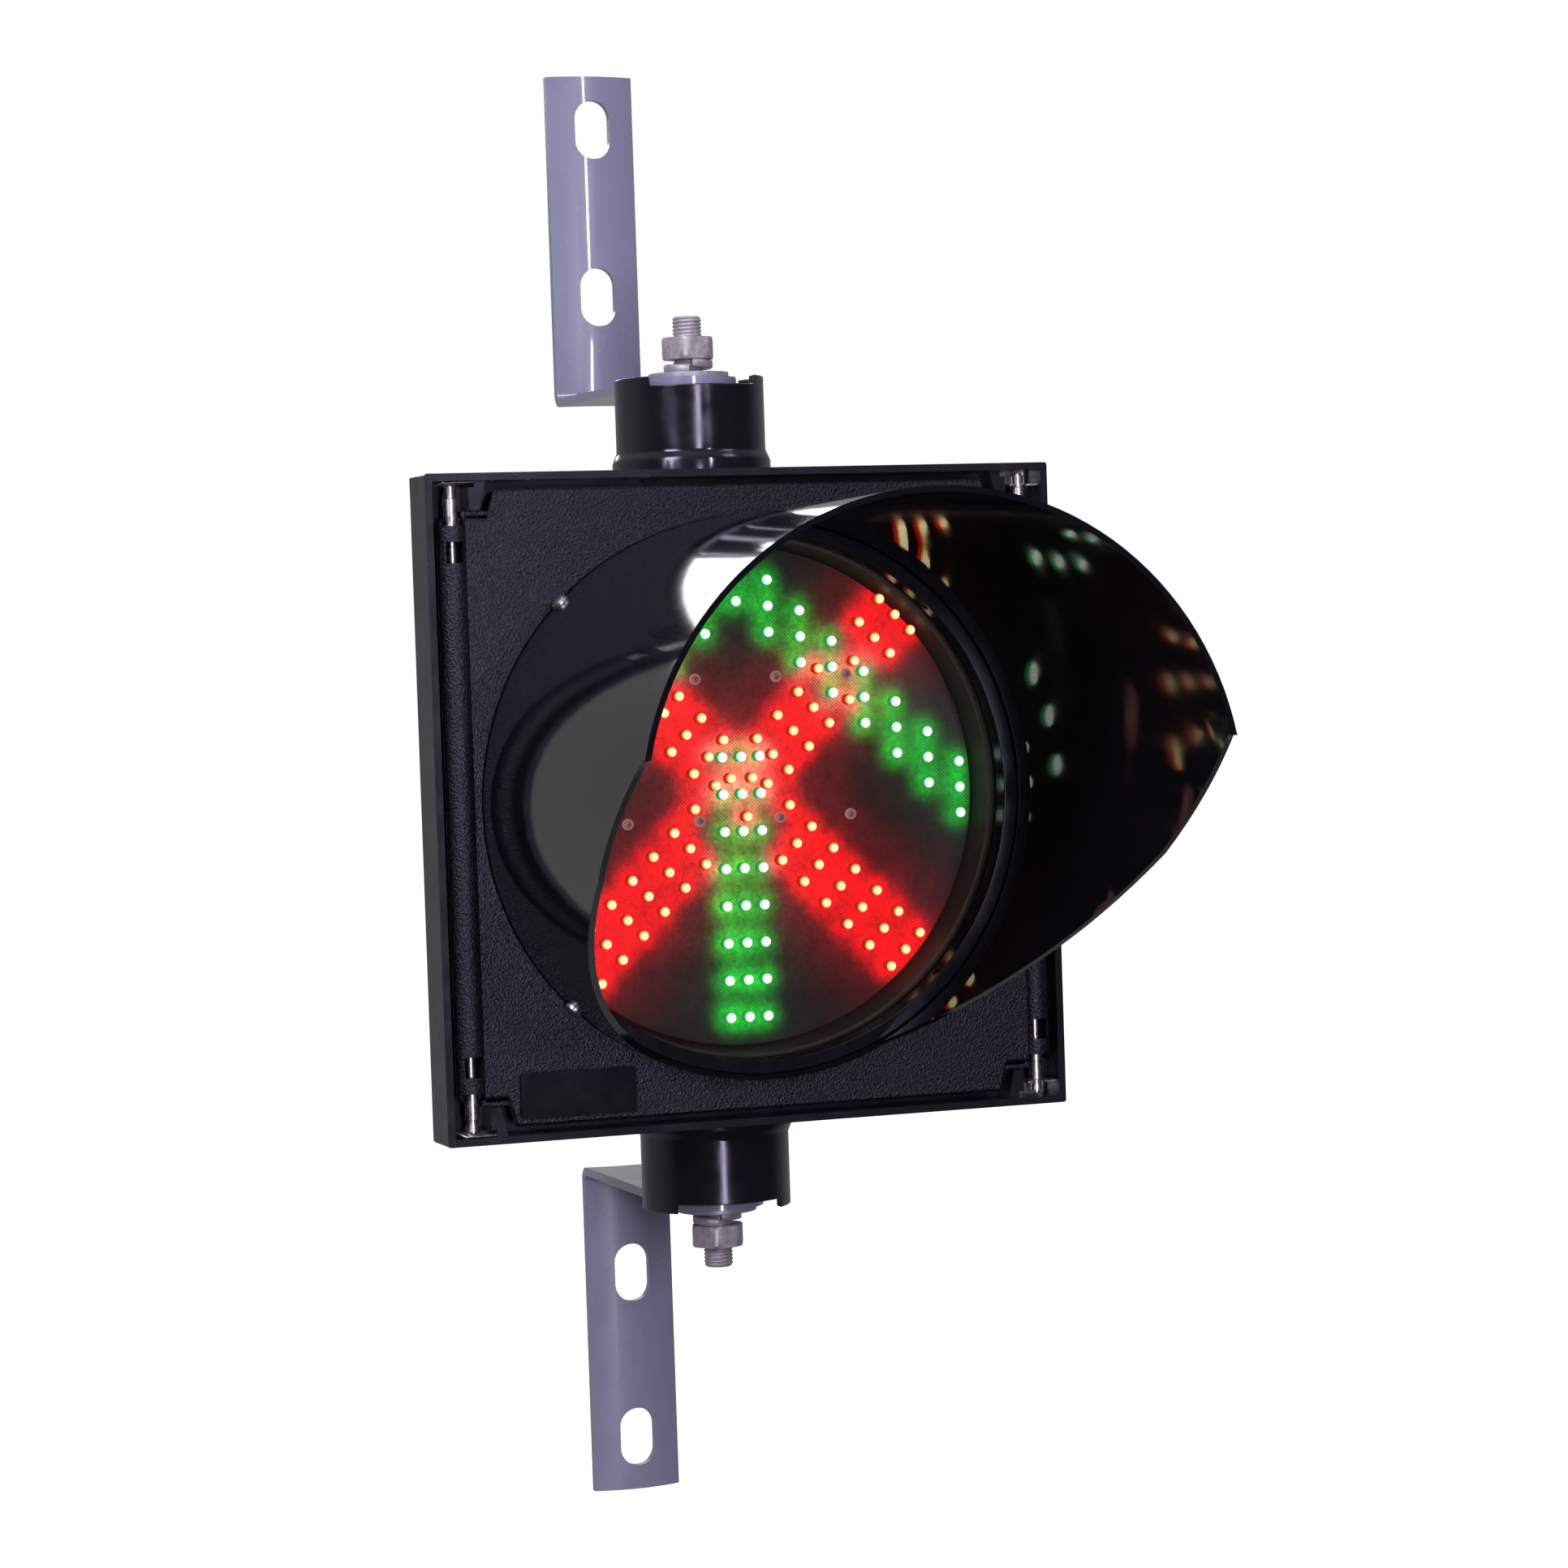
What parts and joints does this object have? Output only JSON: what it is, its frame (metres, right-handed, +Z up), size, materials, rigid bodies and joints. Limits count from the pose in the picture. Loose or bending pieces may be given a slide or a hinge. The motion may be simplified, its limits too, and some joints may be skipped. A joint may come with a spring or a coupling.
{
  "type": "lane control signal",
  "caption": "Square black signal head with a long cut-away visor, an LED cross and arrow module, and slotted L brackets for a pole.",
  "frame": {"origin": "on the pole side, midway between the two bracket plates, in the plane their edges press on", "axes": "+Z up, the lit face looks along -Y, +X to the right of a viewer who faces the lit face"},
  "size_m": [0.35, 0.531, 0.8308],
  "materials": {
    "bracket_paint": "glossy blue-grey coating",
    "zinc_steel": "bright zinc plated",
    "plate_washer_steel": "dull galvanized",
    "housing_black": "smooth moulded black",
    "hub_black": "smooth satin black",
    "door_black": "fine grained black",
    "visor_black": "glossy black",
    "seal_rubber": "matt",
    "pin_steel": "turned stainless",
    "spring_steel": "drawn wire",
    "sheet_stainless": "rolled sheet",
    "lens_clear": "clear moulded",
    "module_black": "moulded",
    "board_dark": "dark solder mask",
    "board_green": "solder mask",
    "can_metal": "sleeved can",
    "led_green": "lit",
    "led_red": "lit"
  },
  "bodies": {
    "brackets": {"upper_bracket": "bracket_paint", "lower_bracket": "bracket_paint"},
    "head": {"housing_frame": "housing_black", "housing_shell": "housing_black", "housing_back": "housing_black", "cable_grommet": "seal_rubber", "terminal_block": "module_black", "upper_hub": "hub_black", "lower_hub": "hub_black", "upper_stud": "zinc_steel", "lower_stud": "zinc_steel", "upper_plate_washer": "plate_washer_steel", "lower_plate_washer": "plate_washer_steel", "upper_spring_washer": "zinc_steel", "lower_spring_washer": "zinc_steel", "upper_nut": "zinc_steel", "lower_nut": "zinc_steel", "upper_inner_washer": "zinc_steel", "lower_inner_washer": "zinc_steel", "upper_inner_nut": "zinc_steel", "lower_inner_nut": "zinc_steel", "corner_plates_hinge": "sheet_stainless", "corner_plates_latch": "sheet_stainless"},
    "door": {"door_panel": "door_black", "door_gasket": "seal_rubber", "pin_bushes": "pin_steel", "visor": "visor_black", "visor_screws": "pin_steel", "lens_ring": "visor_black", "lens": "lens_clear", "lens_gasket": "seal_rubber", "module_cup": "module_black", "led_board": "board_dark", "driver_board": "board_green", "transformer": "module_black", "module_connector": "module_black", "board_screws": "pin_steel", "board_spacers": "zinc_steel", "capacitors": "can_metal", "module_clips": "sheet_stainless", "module_screws": "pin_steel", "green_leds": "led_green", "red_leds": "led_red", "pin_spring_upper_right": "spring_steel", "pin_spring_upper_left": "spring_steel", "pin_spring_lower_right": "spring_steel", "pin_spring_lower_left": "spring_steel"},
    "pin_upper_right": {"pin_upper_right": "pin_steel"},
    "pin_upper_left": {"pin_upper_left": "pin_steel"},
    "pin_lower_right": {"pin_lower_right": "pin_steel"},
    "pin_lower_left": {"pin_lower_left": "pin_steel"}
  },
  "joints": [
    {"name": "head_swivel", "type": "hinge", "parent": "brackets", "child": "head", "pos_m": [0, -0.169, 0], "axis": [0, 0, 1], "range_deg": [-20, 20]},
    {"name": "door_hinge", "type": "hinge", "parent": "head", "child": "door", "pos_m": [-0.16, -0.249, 0], "axis": [0, 0, -1], "range_deg": [0, 100]},
    {"name": "pin_upper_right_slide", "type": "slide", "parent": "door", "child": "pin_upper_right", "axis": [0, 0, -1], "range_m": [0, 0.006], "stiffness_N_per_m": 400, "springref_m": -0.004, "deforming": ["pin_spring_upper_right"]},
    {"name": "pin_upper_left_slide", "type": "slide", "parent": "door", "child": "pin_upper_left", "axis": [0, 0, -1], "range_m": [0, 0.006], "stiffness_N_per_m": 400, "springref_m": -0.004, "deforming": ["pin_spring_upper_left"]},
    {"name": "pin_lower_right_slide", "type": "slide", "parent": "door", "child": "pin_lower_right", "axis": [0, 0, 1], "range_m": [0, 0.006], "stiffness_N_per_m": 400, "springref_m": -0.004, "deforming": ["pin_spring_lower_right"]},
    {"name": "pin_lower_left_slide", "type": "slide", "parent": "door", "child": "pin_lower_left", "axis": [0, 0, 1], "range_m": [0, 0.006], "stiffness_N_per_m": 400, "springref_m": -0.004, "deforming": ["pin_spring_lower_left"]}
  ]
}
